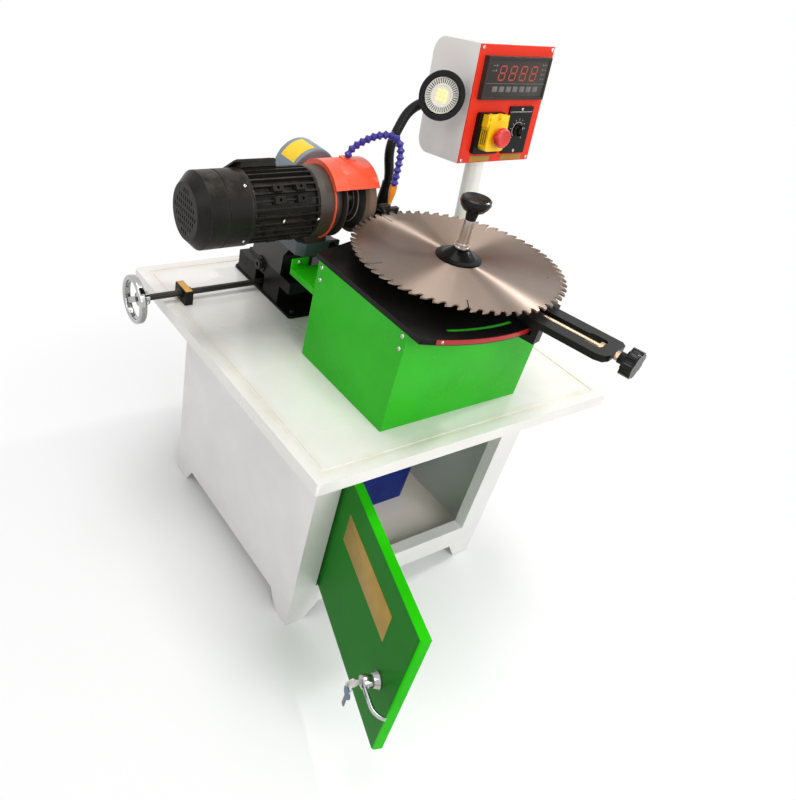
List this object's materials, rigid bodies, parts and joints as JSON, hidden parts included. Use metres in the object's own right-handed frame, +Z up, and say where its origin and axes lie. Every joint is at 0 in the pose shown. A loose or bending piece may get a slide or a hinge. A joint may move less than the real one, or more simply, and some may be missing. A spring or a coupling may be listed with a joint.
{
  "type": "saw_blade_sharpener",
  "caption": "Cabinet-mounted circular saw blade sharpener with dished grinding wheel, swivel arm, coolant hose, lamp and control box",
  "frame": {"origin": "on the floor under the table's centre", "axes": "X right along the door side, Y back, Z up"},
  "size_m": [0.807, 1.0388, 1.0941],
  "materials": {
    "white_paint": "gloss",
    "green_paint": "gloss",
    "black_paint": "satin",
    "red_paint": "satin",
    "orange_paint": "gloss",
    "blue_grey_paint": "satin",
    "motor_black": "satin",
    "shield_brown": "satin",
    "bright_steel": "ground",
    "blade_steel": "ground",
    "black_steel": "oiled",
    "chrome_plate": "polished",
    "brass_cap": "dull",
    "abrasive": "grainy",
    "black_plastic": "satin",
    "lamp_white": "gloss",
    "yellow_plastic": "gloss",
    "red_plastic": "gloss",
    "green_plastic": "gloss",
    "hose_blue": "satin",
    "nozzle_orange": "satin",
    "bin_blue": "satin"
  },
  "bodies": {
    "stand": {"cabinet_shell": "white_paint", "table_tray": "white_paint", "door_hinges": "bright_steel", "head_pad": "white_paint", "head_base": "black_paint", "screw_block": "brass_cap", "feed_housing": "green_paint", "top_plate": "black_paint", "scale_strip": "red_paint", "rear_shelf": "green_paint", "feed_gearmotor": "blue_grey_paint", "lamp_base": "black_paint", "lamp_neck": "black_plastic", "lamp_head": "black_plastic", "lamp_reflector": "lamp_white", "post": "white_paint", "control_box": "white_paint", "front_panel": "red_paint", "digital_meter": "black_plastic", "switch_base": "black_plastic", "speed_plate": "black_plastic"},
    "door": {"door_panel": "green_paint", "door_lock": "chrome_plate"},
    "lever": {"lock_lever": "chrome_plate"},
    "key": {"lock_keys": "chrome_plate"},
    "bin": {"coolant_bin": "bin_blue"},
    "feed": {"handwheel": "chrome_plate", "feed_screw": "black_steel"},
    "slide": {"cross_slide": "black_paint"},
    "head": {"rocker_frame": "black_paint", "rocker_pin": "black_steel", "head_casting": "blue_grey_paint", "motor_frame": "motor_black", "fan_cover": "motor_black", "end_shield": "shield_brown", "terminal_box": "motor_black", "wheel_guard": "orange_paint", "coolant_hose": "hose_blue", "hose_nozzle": "nozzle_orange", "rocker_motor": "blue_grey_paint"},
    "head_knob": {"head_lock_knob": "black_plastic"},
    "rotor": {"motor_rotor": "bright_steel", "cooling_fan": "black_plastic", "grinding_wheel": "abrasive"},
    "arm": {"swivel_arm": "black_paint", "arm_clamp": "black_paint"},
    "arm_feed": {"arm_screw": "bright_steel", "arm_knob": "black_plastic"},
    "carriage": {"blade_carriage": "black_paint"},
    "blade": {"saw_blade": "blade_steel", "clamp_cone": "black_steel", "clamp_sleeve": "bright_steel"},
    "blade_knob": {"clamp_knob": "black_plastic"},
    "crank": {"feed_crank": "bright_steel"},
    "pawl_carrier": {"pawl_slide": "black_paint"},
    "pawl": {"feed_pawl": "brass_cap"},
    "cover": {"switch_cover": "yellow_plastic"},
    "stop": {"stop_button": "red_plastic"},
    "start": {"start_button": "green_plastic"},
    "dial": {"speed_dial": "black_plastic"}
  },
  "joints": [
    {"name": "door_hinge", "type": "hinge", "parent": "stand", "child": "door", "pos_m": [-0.188, -0.264, 0.2745], "axis": [0, 0, 1], "range_deg": [0, 108]},
    {"name": "lock_turn", "type": "hinge", "parent": "door", "child": "lever", "pos_m": [-0.33137, -0.58227, 0.247], "axis": [-0.9511, 0.309, 0], "range_deg": [-90, 0]},
    {"name": "key_turn", "type": "hinge", "parent": "lever", "child": "key", "pos_m": [-0.34659, -0.57733, 0.247], "axis": [-0.9511, 0.309, 0], "range_deg": [0, 90]},
    {"name": "bin_slide", "type": "slide", "parent": "stand", "child": "bin", "axis": [0, 1, 0], "range_m": [-0.15, 0]},
    {"name": "handwheel_turn", "type": "hinge", "parent": "stand", "child": "feed", "pos_m": [-0.404, 0.222, 0.563], "axis": [1, 0, 0], "range_deg": [-4321, 577]},
    {"name": "slide_travel", "type": "slide", "parent": "stand", "child": "slide", "axis": [1, 0, 0], "range_m": [-0.06, 0.008]},
    {"name": "head_rock", "type": "hinge", "parent": "slide", "child": "head", "pos_m": [-0.1, 0.22, 0.608], "axis": [1, 0, 0], "range_deg": [-8, 0]},
    {"name": "wheel_spin", "type": "hinge", "parent": "head", "child": "rotor", "pos_m": [-0.02, 0.095, 0.8], "axis": [1, 0, 0], "continuous": true},
    {"name": "head_knob_turn", "type": "hinge", "parent": "head", "child": "head_knob", "pos_m": [-0.084, 0.062, 0.719], "axis": [0, 1, 0], "range_deg": [0, 720]},
    {"name": "arm_swivel", "type": "hinge", "parent": "stand", "child": "arm", "pos_m": [-0.02, 0.02, 0.766], "axis": [0, 0, 1], "range_deg": [-25, 3]},
    {"name": "arm_knob_turn", "type": "hinge", "parent": "arm", "child": "arm_feed", "pos_m": [0.0981, -0.49154, 0.772], "axis": [0.225, -0.9744, 0], "range_deg": [-1, 7921]},
    {"name": "carriage_slide", "type": "slide", "parent": "arm", "child": "carriage", "axis": [0.225, -0.9744, 0], "range_m": [0, 0.11]},
    {"name": "blade_spin", "type": "hinge", "parent": "carriage", "child": "blade", "pos_m": [0.02409, -0.17098, 0.7928], "axis": [0, 0, 1], "continuous": true},
    {"name": "blade_knob_turn", "type": "hinge", "parent": "blade", "child": "blade_knob", "pos_m": [0.02409, -0.17098, 0.8662], "axis": [0, 0, 1], "range_deg": [0, 1080]},
    {"name": "crank_spin", "type": "hinge", "parent": "stand", "child": "crank", "pos_m": [0.026, 0.0385, 0.73], "axis": [0, 0, 1], "continuous": true},
    {"name": "pawl_travel", "type": "slide", "parent": "stand", "child": "pawl_carrier", "axis": [1, 0, 0], "range_m": [-0.01, 0.012]},
    {"name": "pawl_lift", "type": "hinge", "parent": "pawl_carrier", "child": "pawl", "pos_m": [-0.004, 0.0385, 0.803], "axis": [1, 0, 0], "range_deg": [-45, 0]},
    {"name": "cover_flip", "type": "hinge", "parent": "stand", "child": "cover", "pos_m": [0.215, 0.01701, 0.97654], "axis": [1, 0, 0], "range_deg": [-100, 0]},
    {"name": "stop_press", "type": "slide", "parent": "cover", "child": "stop", "axis": [0, 0.9925, -0.1219], "range_m": [0, 0.004], "stiffness_N_per_m": 300, "springref_m": -0.004},
    {"name": "start_press", "type": "slide", "parent": "stand", "child": "start", "axis": [0, 0.9925, -0.1219], "range_m": [0, 0.003], "stiffness_N_per_m": 300, "springref_m": -0.003},
    {"name": "dial_turn", "type": "hinge", "parent": "stand", "child": "dial", "pos_m": [0.299, 0.02731, 0.94555], "axis": [0, -0.9925, 0.1219], "range_deg": [-135, 135]}
  ],
  "couplings": [
    {"joint": "handwheel_turn", "follows": "slide_travel", "rad_per_m": 1256.6},
    {"joint": "arm_knob_turn", "follows": "carriage_slide", "rad_per_m": 1256.6}
  ]
}
